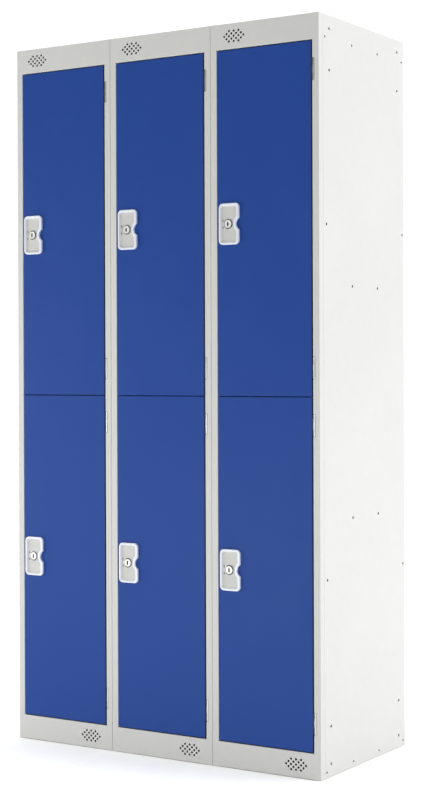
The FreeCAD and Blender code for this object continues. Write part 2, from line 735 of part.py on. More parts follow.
def lock_plug(label, column, base):
    """Turning plug with its round face, key slot, square drive and tapped end."""
    face = "-Size.plate_floor - Size.barrel_head - Size.run_clearance"
    plug = turned(label, column, base, [
        ("0", f"{face} - Size.plug_face"), ("Size.plug_face_radius", f"{face} - Size.plug_face"),
        ("Size.plug_face_radius", face), ("Size.plug_radius", face),
        ("Size.plug_radius", "Size.plug_end"), ("0", "Size.plug_end")])
    drive = new_sketch(plug, "XZ_Plane", "Size.plug_end")
    square(drive, "Size.drive_half")
    pad(plug, drive, "Size.drive_end - Size.plug_end")
    tapped = new_sketch(plug, "XZ_Plane", "Size.drive_end - Size.cam_screw_depth")
    circle(tapped, "0", "0", "Size.cam_screw_radius + Size.run_clearance")
    pocket(plug, tapped, "Size.cam_screw_depth + 1")
    slot = new_sketch(plug, "XZ_Plane", f"{face} - Size.plug_face - 1")
    rectangle(slot, "-Size.key_slot_width / 2", "-Size.key_slot_height / 2",
              "Size.key_slot_width / 2", "Size.key_slot_height / 2")
    pocket(plug, slot, "Size.key_slot_depth + 1")
    return plug


def square(sketch, half):
    rectangle(sketch, f"-{half}", f"-{half}", half, half)


def lock_cam(label, column, base):
    """Cam on the plug's square drive, hanging down, and the screw that keeps it there."""
    lock = (f"{column_x(column)} + {LOCK_X}", f"{base} + {LOCK_Z}")
    cam = new_body(f"{label}_plate", *lock)
    outline = new_sketch(cam, "XZ_Plane", "Size.cam_front")
    rectangle(outline, "-Size.cam_half_width", "-Size.cam_length",
              "Size.cam_half_width", "Size.cam_half_width")
    blank = pad(cam, outline, "Size.cam_gauge")
    fillet(cam, blank, "0.7 * Size.cam_half_width", "y", [{}])
    drive = new_sketch(cam, "XZ_Plane", "Size.cam_front - 1")
    square(drive, "(Size.drive_half + Size.run_clearance)")
    pocket(cam, drive, "Size.cam_gauge + 2")
    screw = new_body(f"{label}_screw", *lock)
    shank = new_sketch(screw, "XZ_Plane", "Size.drive_end - Size.cam_screw_depth + 1")
    circle(shank, "0", "0", "Size.cam_screw_radius")
    pad(screw, shank, "Size.cam_screw_depth - 1")
    head = new_sketch(screw, "XZ_Plane", "Size.drive_end")
    hexagon(head, "Size.cam_screw_head")
    pad(screw, head, "Size.cam_screw_radius * 2")
    return group(label, [cam, screw])


# --- hinges ----------------------------------------------------------------------------

def knuckles(body, spans):
    """Rings round the hinge pin, each from one height to another above the hinge's foot."""
    for low, high in spans:
        ring = new_sketch(body, "XY_Plane", low)
        circle(ring, HINGE_X, "Size.hinge_back", "Size.knuckle_radius")
        pad(body, ring, f"{high} - ({low})")


def bore_knuckles(body):
    bore = new_sketch(body, "XY_Plane", "-1")
    circle(bore, HINGE_X, "Size.hinge_back", "Size.pin_radius + Size.pin_clearance")
    pocket(body, bore, "Size.hinge_length + 2")


def door_hinge_leaves(label, column, base):
    """Two cranked leaves on the door's hinge-side return, each with the middle knuckle."""
    leaf = new_body(label, column_x(column), f"{base} + {HINGE_START}")
    flange = new_sketch(leaf, "XY_Plane")
    rectangle(flange, DOOR_RIGHT, LEAF_FRONT, f"{DOOR_RIGHT} + Size.leaf_gauge", "Size.leaf_depth")
    pad(leaf, flange, "Size.hinge_length")
    arm = new_sketch(leaf, "XY_Plane", MIDDLE_LOW)
    rectangle(arm, DOOR_RIGHT, LEAF_FRONT, HINGE_X, LEAF_BACK)
    pad(leaf, arm, f"{MIDDLE_HIGH} - ({MIDDLE_LOW})")
    knuckles(leaf, [(MIDDLE_LOW, MIDDLE_HIGH)])
    bore_knuckles(leaf)
    repeat(leaf, [("Z", HINGE_SPREAD, "2")])
    return leaf


def frame_hinge_leaves(label):
    """Twelve leaves inside the side panels' tongues, each with the two end knuckles."""
    leaf = new_body(label, column_x(0), f"{LOWER_DOOR} + {HINGE_START}")
    wall = "Size.column_width - 2 * Size.frame_gauge - Size.fit_gap"
    flange = new_sketch(leaf, "XY_Plane")
    plate_left = f"{HINGE_X} + Size.knuckle_radius + Size.knuckle_gap"
    polygon(flange, [(plate_left, LEAF_FRONT), (wall, LEAF_FRONT), (wall, "Size.leaf_depth"),
                     (f"{wall} - Size.leaf_gauge", "Size.leaf_depth"),
                     (f"{wall} - Size.leaf_gauge", LEAF_BACK), (plate_left, LEAF_BACK)])
    pad(leaf, flange, "Size.hinge_length")
    ends = [("0", "Size.knuckle_length"),
            ("Size.hinge_length - Size.knuckle_length", "Size.hinge_length")]
    for low, high in ends:
        arm = new_sketch(leaf, "XY_Plane", low)
        rectangle(arm, HINGE_X, LEAF_FRONT, f"{plate_left} + 1", LEAF_BACK)
        pad(leaf, arm, f"{high} - ({low})")
    knuckles(leaf, ends)
    bore_knuckles(leaf)
    repeat(leaf, HINGE_ROWS)
    return leaf


def hinge_pins(label):
    """Twelve hinge pins with a flat head at each end."""
    pin = new_body(label, column_x(0), f"{LOWER_DOOR} + {HINGE_START}")
    for low, high, radius in (("-Size.pin_head", "0", "Size.pin_head_radius"),
                              ("0", "Size.hinge_length", "Size.pin_radius"),
                              ("Size.hinge_length", "Size.hinge_length + Size.pin_head",
                               "Size.pin_head_radius")):
        length = new_sketch(pin, "XY_Plane", low)
        circle(length, HINGE_X, "Size.hinge_back", radius)
        pad(pin, length, f"{high} - ({low})")
    repeat(pin, HINGE_ROWS)
    return pin


# --- fasteners and fittings ------------------------------------------------------------

def stepped_pin(body, plane, steps):
    """Round pin along an axis, from (start, end, radius) steps at a fixed place."""
    for start, end, across, up, radius in steps:
        sketch = new_sketch(body, plane, start)
        circle(sketch, across, up, radius)
        pad(body, sketch, f"{end} - ({start})")


def tray_rivets(label):
    """Rivets through both sides of every column into the rail trays, flush outside."""
    sides = []
    inner_face = "2 * Size.frame_gauge + Size.fit_gap"
    for hand in ("left", "right"):
        for tray, rise in (("top", "Size.locker_height - Size.rivet_top_drop"),
                           ("base", "Size.rivet_base_rise")):
            body = new_body(f"{label}_{hand}_{tray}", column_x(0))
            spot = ("Size.rivet_first", rise)
            if hand == "left":
                stepped_pin(body, "YZ_Plane", [
                    ("Size.fit_gap", inner_face, *spot, "Size.rivet_radius"),
                    (inner_face, f"{inner_face} + Size.bend_inside", *spot, "Size.rivet_head")])
            else:
                wall = "Size.column_width"
                stepped_pin(body, "YZ_Plane", [
                    (f"{wall} - ({inner_face})", f"{wall} - Size.fit_gap", *spot,
                     "Size.rivet_radius"),
                    (f"{wall} - ({inner_face}) - Size.bend_inside", f"{wall} - ({inner_face})",
                     *spot, "Size.rivet_head")])
            repeat(body, [("Y", "Size.rivet_pitch * (Size.rivet_rows - 1)", "Size.rivet_rows"),
                          ACROSS_COLUMNS])
            sides.append(body)
    return group(label, sides)


def nest_bolts(label):
    """Hexagon bolts through both side panels at every seam between columns."""
    bolt = new_body(label, column_x(1))
    spot = ("Size.nest_front", "Size.nest_inner_base")
    head = new_sketch(bolt, "YZ_Plane", "-Size.frame_gauge - Size.bolt_head")
    hexagon_at(head, *spot, "Size.bolt_head_radius")
    pad(bolt, head, "Size.bolt_head")
    stepped_pin(bolt, "YZ_Plane", [("-Size.frame_gauge", "Size.bolt_grip - Size.frame_gauge",
                                    *spot, "Size.bolt_radius")])
    repeat(bolt, NEST_ROWS)
    return bolt


def nest_nuts(label):
    nut = new_body(label, column_x(1))
    spot = ("Size.nest_front", "Size.nest_inner_base")
    blank = new_sketch(nut, "YZ_Plane", "Size.frame_gauge")
    hexagon_at(blank, *spot, "Size.bolt_head_radius")
    circle(blank, *spot, "Size.bolt_radius + Size.run_clearance")
    pad(nut, blank, "Size.nut_height")
    repeat(nut, NEST_ROWS)
    return nut


def hexagon_at(sketch, across, up, radius):
    polygon(sketch, [(f"{across} + {radius} * cos({60 * step})",
                      f"{up} + {radius} * sin({60 * step})") for step in range(6)])


def door_buffers(label):
    """Rubber buffers in the strike lips, just clear of the closed doors."""
    buffer = new_body(label, column_x(0), LOWER_DOOR)
    spot = (BUFFER_X, "Size.buffer_from_end")
    lip_front = "Size.stile_return - Size.frame_gauge"
    steps = [("Size.door_depth + Size.buffer_gap", lip_front, "Size.buffer_radius"),
             (lip_front, "Size.stile_return", "Size.buffer_stem"),
             ("Size.stile_return", "Size.stile_return + Size.buffer_tail_length",
              "Size.buffer_tail")]
    stepped_pin(buffer, "XZ_Plane", [(start, end, *spot, radius) for start, end, radius in steps])
    repeat(buffer, [("Z", f"{DOOR_HEIGHT} - 2 * Size.buffer_from_end", "2"),
                    ("Z", DOOR_PITCH, "2"), ACROSS_COLUMNS])
    return buffer


def coat_hooks(label):
    """Double wire hooks under the shelf and under the top of every column."""
    hook = new_body(label, f"{column_x(0)} + Size.column_width / 2",
                    "Size.shelf_top - Size.frame_gauge")
    middle = "Size.locker_depth / 2"
    plate = new_sketch(hook, "XY_Plane", "-Size.hook_plate")
    rectangle(plate, "-Size.hook_plate_width / 2", f"{middle} - Size.hook_plate_depth / 2",
              "Size.hook_plate_width / 2", f"{middle} + Size.hook_plate_depth / 2")
    pad(hook, plate, "Size.hook_plate")
    for side in (-1, 1):
        hook_prong(hook, side, middle)
    repeat(hook, [("Z", "Size.locker_height - Size.shelf_top", "2"), ACROSS_COLUMNS])
    return hook


def hook_prong(hook, side, middle):
    """Wire down from the plate, round a half turn outwards and up to its tip."""
    inner = f"{side} * Size.hook_spacing"
    outer = f"{side} * (Size.hook_spacing + 2 * Size.hook_bend)"
    centre = f"{side} * (Size.hook_spacing + Size.hook_bend)"
    top, low, high = "-Size.hook_plate / 2", "-Size.hook_drop", "Size.hook_tip - Size.hook_drop"
    start, foot, rise, tip = (Vector(number(across), number(up), 0) for across, up in
                              ((inner, top), (inner, low), (outer, low), (outer, high)))
    bottom = Vector(number(centre), number(f"{low} - Size.hook_bend"), 0)
    spine = new_sketch(hook, "XZ_Plane", middle)
    spine.addGeometry([Part.LineSegment(start, foot), Part.Arc(foot, bottom, rise),
                       Part.LineSegment(rise, tip)])
    first_end, last_end = (1, 2) if side > 0 else (2, 1)
    spine.addConstraint(Sketcher.Constraint("Coincident", 0, 2, 1, first_end))
    spine.addConstraint(Sketcher.Constraint("Coincident", 1, last_end, 2, 1))
    constrain_point(spine, 0, 1, inner, top)
    constrain_point(spine, 0, 2, inner, low)
    constrain_point(spine, 1, 3, centre, low)
    constrain(spine, "DistanceY", 2, 1, low)
    constrain_point(spine, 2, 2, outer, high)
    section = new_sketch(hook, "XY_Plane", top)
    circle(section, inner, middle, "Size.hook_wire / 2")
    pipe = hook.newObject("PartDesign::AdditivePipe", f"{hook.Name}_prong")
    pipe.Profile = section
    pipe.Spine = (spine, ["Edge1", "Edge2", "Edge3"])
    return pipe


# --- the whole nest --------------------------------------------------------------------

def build_frame():
    columns = range(int(number("Size.column_count")))
    nodes = []
    for column in columns:
        for hand in ("left", "right"):
            nodes.append(side_panel(f"{hand}_side_panel_{column + 1}", column, hand))
    top = "Size.locker_height - Size.rail_height"
    nodes += [
        stiles("lock_stiles", "left"),
        stiles("hinge_stiles", "right"),
        group("back_panels", [back_panel(f"back_{column + 1}", column) for column in columns]),
        group("top_trays", [rail_tray(f"top_{column + 1}", column, top, True)
                            for column in columns]),
        group("floor_trays", [rail_tray(f"floor_{column + 1}", column, "0", False)
                              for column in columns]),
        group("shelves", [shelf(f"shelf_{column + 1}", column) for column in columns]),
        frame_hinge_leaves("frame_hinge_leaves"),
        hinge_pins("hinge_pins"),
        tray_rivets("tray_rivets"),
        group("nest_bolts", [nest_bolts("bolts"), nest_nuts("nuts")]),
        door_buffers("door_buffers"),
        coat_hooks("coat_hooks"),
    ]
    return nodes


def build_door(tier, rise, column):
    """Everything that swings with one door."""
    base = f"{LOWER_DOOR} + {rise}"
    name = f"{tier}_door_{column + 1}"
    return [
        door_pan(f"{name}_pan", column, base),
        door_stiffener(f"{name}_stiffener", column, base),
        door_hinge_leaves(f"{name}_hinge_leaves", column, base),
        escutcheon(f"{name}_escutcheon", column, base),
        lock_barrel(f"{name}_lock_barrel", column, base),
        lock_plug(f"{name}_lock_plug", column, base),
        lock_cam(f"{name}_lock_cam", column, base),
    ]


def check(nodes):
    """Stop if anything failed to compute or any sub-part isn't a sound solid."""
    for item in doc.Objects:
        if {"Invalid", "Error"} & set(item.State):
            raise RuntimeError(f"{item.Name} ({item.Label}) failed: {item.State}")
    for node in nodes:
        if node.Shape.isNull() or not node.Shape.isValid() or not node.Shape.Solids:
            raise RuntimeError(f"{node.Label} has no valid solid")


def export(nodes):
    os.makedirs("parts", exist_ok=True)
    for node in nodes:
        node.Shape.exportStep(f"parts/{node.Label}.step")


fill_sheet()
sub_parts = build_frame()
for tier, rise in TIERS.items():
    for column in range(int(number("Size.column_count"))):
        sub_parts += build_door(tier, rise, column)
doc.recompute()
check(sub_parts)
export(sub_parts)
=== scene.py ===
"""School locker: a nest of three two-tier steel lockers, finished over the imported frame."""
import json
import math

import bmesh
import bpy
from mathutils import Matrix, Vector


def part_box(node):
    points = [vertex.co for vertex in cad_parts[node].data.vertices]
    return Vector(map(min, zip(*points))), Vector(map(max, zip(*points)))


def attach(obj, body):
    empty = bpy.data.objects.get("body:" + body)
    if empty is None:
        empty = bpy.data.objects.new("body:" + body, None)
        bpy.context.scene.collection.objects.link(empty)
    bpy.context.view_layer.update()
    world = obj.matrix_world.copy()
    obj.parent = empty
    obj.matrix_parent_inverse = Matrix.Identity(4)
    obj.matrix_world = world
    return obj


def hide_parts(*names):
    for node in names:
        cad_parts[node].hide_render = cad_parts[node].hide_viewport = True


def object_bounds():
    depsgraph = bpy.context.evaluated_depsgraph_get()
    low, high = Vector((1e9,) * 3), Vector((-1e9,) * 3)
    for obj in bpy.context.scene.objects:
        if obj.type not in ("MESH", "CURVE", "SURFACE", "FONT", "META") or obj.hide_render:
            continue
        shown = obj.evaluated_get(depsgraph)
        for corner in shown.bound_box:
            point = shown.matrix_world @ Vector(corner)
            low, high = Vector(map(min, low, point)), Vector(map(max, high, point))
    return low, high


MM = 0.001
COLUMNS = (1, 2, 3)
TIERS = ("lower", "upper")

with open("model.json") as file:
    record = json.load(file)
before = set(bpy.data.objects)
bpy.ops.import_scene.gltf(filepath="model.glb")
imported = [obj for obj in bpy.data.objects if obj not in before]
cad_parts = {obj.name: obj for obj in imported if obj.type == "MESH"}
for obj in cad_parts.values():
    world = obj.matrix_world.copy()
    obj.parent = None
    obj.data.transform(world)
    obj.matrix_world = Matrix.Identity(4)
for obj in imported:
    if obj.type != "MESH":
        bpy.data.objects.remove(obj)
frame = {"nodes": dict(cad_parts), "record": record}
CAD_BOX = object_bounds()
NODES = frame["nodes"]
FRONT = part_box("lock_stiles")[0].y
DEPTH = CAD_BOX[1][1] - FRONT
HEIGHT = CAD_BOX[1][2]
COLUMN_WIDTH = (CAD_BOX[1][0] - CAD_BOX[0][0]) / len(COLUMNS)
STILE_WIDTH, RAIL_HEIGHT = 18 * MM, 62 * MM
FIXING_ROWS = [FRONT + (30 + 136 * row) * MM for row in range(4)]


# --- node trees ------------------------------------------------------------------------

class Graph:
    """One material's node tree, with short calls to add and join nodes."""

    def __init__(self, name, **shader):
        self.material = bpy.data.materials.new(name)
        self.material.use_nodes = True
        self.tree = self.material.node_tree
        self.shader = self.tree.nodes["Principled BSDF"]
        self.set(self.shader, shader)

    def set(self, node, values):
        for key, value in values.items():
            socket = node.inputs[key]
            if isinstance(value, bpy.types.NodeSocket):
                self.tree.links.new(value, socket)
            else:
                socket.default_value = value
        return node

    def add(self, kind, inputs=None, **settings):
        node = self.tree.nodes.new(kind)
        for key, value in settings.items():
            setattr(node, key, value)
        return self.set(node, inputs or {})

    def place(self, scale=(1, 1, 1)):
        """Object coordinates, stretched."""
        coordinates = self.add("ShaderNodeTexCoord").outputs["Object"]
        return self.add("ShaderNodeMapping", {"Vector": coordinates, "Scale": scale}).outputs["Vector"]

    def noise(self, where, scale, detail=2.0, rough=0.5, twist=0.0):
        made = self.add("ShaderNodeTexNoise", {"Vector": where, "Scale": scale, "Detail": detail,
                                               "Roughness": rough, "Distortion": twist})
        return made.outputs["Fac"]

    def spread(self, value, low, high, to_low=0.0, to_high=1.0):
        made = self.add("ShaderNodeMapRange", {"Value": value, "From Min": low, "From Max": high,
                                               "To Min": to_low, "To Max": to_high})
        return made.outputs["Result"]

    def maths(self, operation, a, b):
        made = self.add("ShaderNodeMath", {0: a, 1: b}, operation=operation)
        return made.outputs[0]

    def mix(self, share, a, b):
        made = self.add("ShaderNodeMix", {"Factor": share}, data_type="RGBA")
        for socket, value in (("A", a), ("B", b)):
            target = next(s for s in made.inputs if s.name == socket and s.type == "RGBA")
            if isinstance(value, bpy.types.NodeSocket):
                self.tree.links.new(value, target)
            else:
                target.default_value = (*value, 1.0)
        return next(s for s in made.outputs if s.type == "RGBA")

    def bump(self, height, strength, distance, below=None):
        inputs = {"Height": height, "Strength": strength, "Distance": distance}
        if below is not None:
            inputs["Normal"] = below
        return self.add("ShaderNodeBump", inputs).outputs["Normal"]

    def edges(self, radius):
        """1 along sharp edges, 0 on flat ground."""
        rounded = self.add("ShaderNodeBevel", {"Radius": radius}, samples=4).outputs["Normal"]
        flat = self.add("ShaderNodeNewGeometry").outputs["Normal"]
        made = self.add("ShaderNodeVectorMath", {0: rounded, 1: flat}, operation="DOT_PRODUCT")
        return self.spread(made.outputs["Value"], 0.995, 0.88)

    def crevices(self, reach):
        """1 deep in narrow gaps, 0 on open ground."""
        made = self.add("ShaderNodeAmbientOcclusion", {"Distance": reach}, samples=6)
        return self.spread(made.outputs["AO"], 0.75, 0.30)

    def finish(self, **shader):
        self.set(self.shader, shader)
        return self.material


def powder_coat(name, colour, worn, roughness, specular):
    """Baked powder paint: fine orange peel, drift of shade, rubbed edges, dust with painted shade in
    crevices, handling marks.
    """
    g = Graph(name, **{"Specular IOR Level": specular})
    where = g.place()
    drift = g.spread(g.noise(where, 2.3, 3.0), 0.3, 0.7)
    mottle = g.spread(g.noise(where, 38.0, 4.0, 0.6), 0.35, 0.65)
    shade = g.mix(g.maths("MULTIPLY", drift, 0.7), colour, [c * 0.955 for c in colour])
    shade = g.mix(g.maths("MULTIPLY", mottle, 0.22), shade, [min(1.0, c * 1.06) for c in colour])
    rub = g.spread(g.noise(where, 120.0, 5.0, 0.7, 0.6), 0.47, 0.66)
    wear = g.maths("MULTIPLY", g.maths("MULTIPLY", g.edges(0.0012), rub), 0.55)
    shade = g.mix(wear, shade, worn)
    # Painted shade, partly dust: the colour is darkened towards 0.45 of itself in narrow gaps, found by
    # ambient occlusion.
    dust_and_shade = g.maths("MULTIPLY", g.crevices(0.004), g.spread(rub, 0, 1, 0.6, 0.95))
    shade = g.mix(dust_and_shade, shade, [c * 0.45 for c in colour])
    hand = g.spread(g.noise(g.place((1, 1, 0.45)), 9.0, 5.0, 0.62, 1.2), 0.42, 0.72)
    fine = g.noise(where, 420.0, 2.0)
    sheen = g.maths("ADD", g.spread(hand, 0, 1, roughness - 0.05, roughness + 0.07),
                    g.spread(fine, 0.3, 0.7, -0.03, 0.03))
    orange = g.noise(where, 640.0, 1.5, 0.45)
    grit = g.noise(where, 2400.0, 1.0)
    waves = g.noise(g.place((1, 1, 0.3)), 14.0, 1.0)
    height = g.maths("ADD", orange, g.maths("MULTIPLY", grit, 0.18))
    normal = g.bump(waves, 0.035, 0.0011)
    normal = g.bump(height, 0.22, 0.00012, normal)
    return g.finish(**{"Base Color": shade, "Roughness": sheen, "Normal": normal})


def moulded_plastic(name, colour, roughness, texture):
    """Silver-grey moulded plastic with metallic fleck and a fine spark-eroded grain."""
    g = Graph(name, **{"Metallic": 0.12, "Specular IOR Level": 0.5})
    where = g.place()
    fleck = g.add("ShaderNodeTexVoronoi", {"Vector": where, "Scale": 2600.0}).outputs["Color"]
    fleck = g.spread(g.add("ShaderNodeSeparateColor", {"Color": fleck}).outputs[0], 0.78, 1.0)
    drift = g.spread(g.noise(where, 26.0, 3.0), 0.35, 0.65)
    shade = g.mix(g.maths("MULTIPLY", drift, 0.6), colour, [c * 0.94 for c in colour])
    shade = g.mix(g.maths("MULTIPLY", fleck, 0.35), shade, [min(1.0, c * 1.25) for c in colour])
    rub = g.spread(g.noise(where, 210.0, 4.0, 0.65), 0.45, 0.7)
    shade = g.mix(g.maths("MULTIPLY", g.maths("MULTIPLY", g.edges(0.0007), rub), 0.45), shade,
                  [min(1.0, c * 1.18) for c in colour])
    scuff = g.spread(g.noise(g.place((1, 1, 6)), 60.0, 4.0, 0.7), 0.5, 0.75)
    sheen = g.maths("ADD", roughness, g.maths("MULTIPLY", scuff, 0.10))
    grain = g.noise(where, 1700.0, 3.0, 0.65)
    return g.finish(**{"Base Color": shade, "Roughness": sheen,
                       "Normal": g.bump(grain, texture, 0.00010)})


def plated_metal(name, colour, tint, roughness, spangle, metallic=1.0):
    """Plated metal with a drifting tint, spangle cells and fine scratches."""
    g = Graph(name, **{"Metallic": metallic})
    where = g.place()
    cells = g.add("ShaderNodeTexVoronoi", {"Vector": where, "Scale": spangle}).outputs["Color"]
    cells = g.add("ShaderNodeSeparateColor", {"Color": cells}).outputs[0]
    drift = g.spread(g.noise(where, 55.0, 4.0, 0.6), 0.35, 0.65)
    shade = g.mix(drift, colour, tint)
    shade = g.mix(g.maths("MULTIPLY", cells, 0.16), shade, [c * 0.62 for c in colour])
    scratch = g.spread(g.noise(g.place((1, 1, 14)), 190.0, 3.0, 0.7), 0.55, 0.75)
    sheen = g.maths("ADD", g.spread(cells, 0, 1, roughness - 0.05, roughness + 0.08),
                    g.maths("MULTIPLY", scratch, 0.12))
    grain = g.noise(where, 1300.0, 3.0, 0.6)
    normal = g.bump(grain, 0.16, 0.00006)
    return g.finish(**{"Base Color": shade, "Roughness": sheen, "Normal": normal})


def rubber(name):
    """Black rubber with a pale bloom."""
    g = Graph(name, **{"Specular IOR Level": 0.35})
    where = g.place()
    bloom = g.spread(g.noise(where, 300.0, 4.0, 0.7), 0.4, 0.7)
    shade = g.mix(g.maths("MULTIPLY", bloom, 0.5), (0.022, 0.022, 0.023), (0.055, 0.054, 0.052))
    grain = g.noise(where, 1500.0, 3.0, 0.6)
    return g.finish(**{"Base Color": shade, "Roughness": g.spread(bloom, 0, 1, 0.62, 0.85),
                       "Normal": g.bump(grain, 0.4, 0.00012)})


def shadow_black(name):
    """Painted shadow: dusty black for key slots, bores, the lock's groove and dark marks."""
    g = Graph(name, **{"Specular IOR Level": 0.1})
    dust_and_shade = g.spread(g.noise(g.place(), 500.0, 3.0), 0.4, 0.7)
    return g.finish(**{"Base Color": g.mix(dust_and_shade, (0.008, 0.008, 0.009), (0.03, 0.029, 0.027)),
                       "Roughness": g.spread(dust_and_shade, 0, 1, 0.7, 0.95)})


PAINT = {
    "frame_paint": powder_coat("frame_paint", (0.575, 0.578, 0.555), (0.70, 0.70, 0.69), 0.42, 0.4),
    "door_paint": powder_coat("door_paint", (0.015, 0.056, 0.264), (0.07, 0.13, 0.36), 0.42, 0.14),
    # The rim's plastic is lighter and tinted bluish: a painted reflection of the pale surroundings.
    "silver_plastic": moulded_plastic("silver_plastic", (0.72, 0.75, 0.82), 0.34, 0.10),
    "lock_chrome": plated_metal("lock_chrome", (0.80, 0.79, 0.76), (0.73, 0.72, 0.69), 0.34, 900.0, 0.35),
    "zinc_steel": plated_metal("zinc_steel", (0.66, 0.68, 0.70), (0.60, 0.61, 0.58), 0.34, 420.0),
    "buffer_rubber": rubber("buffer_rubber"),
}
# Painted shade: the same plastic made darker and warmer for the sunk dish, a shaded copy of the rim's
# material.
SHADED_DISH = moulded_plastic("silver_plastic_dish_painted_shade", (0.545, 0.543, 0.52), 0.55, 0.45)
# Painted shadow put in the key slots, rivet bores, the lock's groove and plug side, and on the bars
# beside the lock.
PAINTED_SHADOW = shadow_black("painted_shadow_black")

SLOT_OF = {row["node"]: row["material_slot"] for row in frame["record"]["subparts"]}


def paint_frame():
    """Give every carried-over part the paint of its slot."""
    for name, item in NODES.items():
        material = PAINT[SLOT_OF[name]]
        item.data.materials.clear()
        item.data.materials.append(material)


# --- meshes ----------------------------------------------------------------------------

CREASE = math.radians(32)


def smooth_by_angle(mesh):
    """Smooth faces, with sharp edges kept where the surface turns by more than the crease."""
    work = bmesh.new()
    work.from_mesh(mesh)
    bmesh.ops.recalc_face_normals(work, faces=work.faces)
    for face in work.faces:
        face.smooth = True
    for edge in work.edges:
        edge.smooth = len(edge.link_faces) == 2 and edge.calc_face_angle() < CREASE
    work.to_mesh(mesh)
    work.free()


def piece(name, mesh, body, materials, replaced=()):
    """Put a finished mesh on its body, in place of the nodes it replaces."""
    for material in materials:
        mesh.materials.append(material)
    smooth_by_angle(mesh)
    made = bpy.data.objects.new(name, mesh)
    bpy.context.scene.collection.objects.link(made)
    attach(made, body)
    if replaced:
        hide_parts(*replaced)


class Skin:
    """One mesh gathered from skins, each laid over rings of equally many points."""

    def __init__(self):
        self.points, self.faces, self.marks = [], [], []

    def lay(self, rings, marks, cap_first=False, cap_last=False):
        """Join the rings band by band; marks holds each band's material index."""
        base, count = len(self.points), len(rings[0])
        self.points += [point for ring in rings for point in ring]
        for band in range(len(rings) - 1):
            for step in range(count):
                a = base + band * count + step
                b = base + band * count + (step + 1) % count
                self.faces.append((a, b, b + count, a + count))
                self.marks.append(marks[band])
        if cap_first:
            self.faces.append(tuple(base + step for step in range(count)))
            self.marks.append(marks[0])
        if cap_last:
            self.faces.append(tuple(base + (len(rings) - 1) * count + step for step in range(count)))
            self.marks.append(marks[-1])

    def mesh(self, name):
        made = bpy.data.meshes.new(name)
        made.from_pydata(self.points, [], self.faces)
        made.polygons.foreach_set("material_index", self.marks)
        return made


def around(count, radius):
    """Points of a plane loop whose radius is a number or a function of the angle."""
    angles = [math.tau * step / count for step in range(count)]
    reach = radius if callable(radius) else lambda angle: radius
    return [(reach(angle) * math.cos(angle), reach(angle) * math.sin(angle)) for angle in angles]


def polygon_reach(sides, apothem, limit):
    """Radius of a regular polygon at an angle, with its corners cut at the limit radius."""
    def reach(angle):
        part = math.tau / sides
        off = (angle + part / 2) % part - part / 2
        return min(apothem / math.cos(off), limit)
    return reach


def slot_loop(count, half_width, half_height):
    """An upright slot with round ends, its points at the angles of around()."""
    points = []
    for step in range(count):
        angle = math.tau * step / count
        across, rise = math.cos(angle), math.sin(angle)
        reach = half_width / max(abs(across), 1e-6)
        if abs(reach * rise) > half_height - half_width:
            centre = (half_height - half_width) * (1 if rise > 0 else -1)
            along = centre * rise
            reach = along + math.sqrt(max(along * along - centre * centre + half_width ** 2, 0))
        points.append((reach * across, reach * rise))
    return points


def facing_front(centre, loop, depth):
    """A plane loop in X and Z at a depth behind the front frame plane."""
    return [(centre[0] + x, FRONT + depth, centre[1] + z) for x, z in loop]


# --- escutcheon ------------------------------------------------------------------------

CORNER, GRIP_RADIUS, GRIP_DEPTH, SHOULDER = 11 * MM, 16.5 * MM, 8.2 * MM, 3 * MM


def arc(centre, radius, start, stop, steps):
    """Points along an arc in degrees, its last point left out."""
    turns = [math.radians(start + (stop - start) * step / steps) for step in range(steps)]
    return [(centre[0] + radius * math.cos(turn), centre[1] + radius * math.sin(turn))
            for turn in turns]


def run(start, stop, steps):
    """Points along a straight line, its last point left out."""
    return [(start[0] + (stop[0] - start[0]) * step / steps,
             start[1] + (stop[1] - start[1]) * step / steps) for step in range(steps)]


def plate_loop(half_width, half_height, inset, lean):
    """Outline of the notched plate, set in all round and by lean more on the notched side."""
    right, left, top = half_width - inset - lean, -half_width + inset, half_height - inset
    corner = max(CORNER - inset, 0.8 * MM)
    grip = GRIP_RADIUS + inset + lean
    grip_x = half_width - GRIP_DEPTH + GRIP_RADIUS
    shoulder = max(SHOULDER - inset, 0.9 * MM)
    rise = math.sqrt((grip + shoulder) ** 2 - (grip_x - right + shoulder) ** 2)
    turn = math.degrees(math.atan2(rise, grip_x - right + shoulder))
    points = run((right, rise), (right, top - corner), 3)
    points += arc((right - corner, top - corner), corner, 0, 90, 9)
    points += run((right - corner, top), (left + corner, top), 5)
    points += arc((left + corner, top - corner), corner, 90, 180, 9)
    points += run((left, top - corner), (left, corner - top), 10)
    points += arc((left + corner, corner - top), corner, 180, 270, 9)
    points += run((left + corner, -top), (right - corner, -top), 5)
    points += arc((right - corner, corner - top), corner, 270, 360, 9)
    points += run((right, corner - top), (right, -rise), 3)
    points += arc((right - shoulder, -rise), shoulder, 0, turn, 6)
    points += arc((grip_x, 0), grip, 180 + turn, 180 - turn, 16)
    points += arc((right - shoulder, rise), shoulder, -turn, 0, 6)
    return points


def rim_profile(height, floor):
    """Inset and height of the rim: wall, rolled crest, then the slope down to the dish."""
    roll, inner = 1.7 * MM, 1.0 * MM
    wall = [(0, 0), (0, 0.6 * (height - roll)), (0, height - roll)]
    crest = [(roll - roll * math.cos(t), height - roll + roll * math.sin(t))
             for t in (math.radians(a) for a in (15, 30, 45, 60, 75, 90))]
    flat = 4.1 * MM
    lip = [(flat + inner * math.sin(t), height - inner + inner * math.cos(t))
           for t in (math.radians(a) for a in (0, 18, 36, 54, 70))]
    foot = [(flat + inner + 0.9 * MM, floor + 0.45 * MM), (flat + inner + 1.25 * MM, floor + 0.12 * MM),
            (flat + inner + 1.8 * MM, floor)]
    return wall + crest + lip + foot


LOCK_HOLE = 12.6 * MM


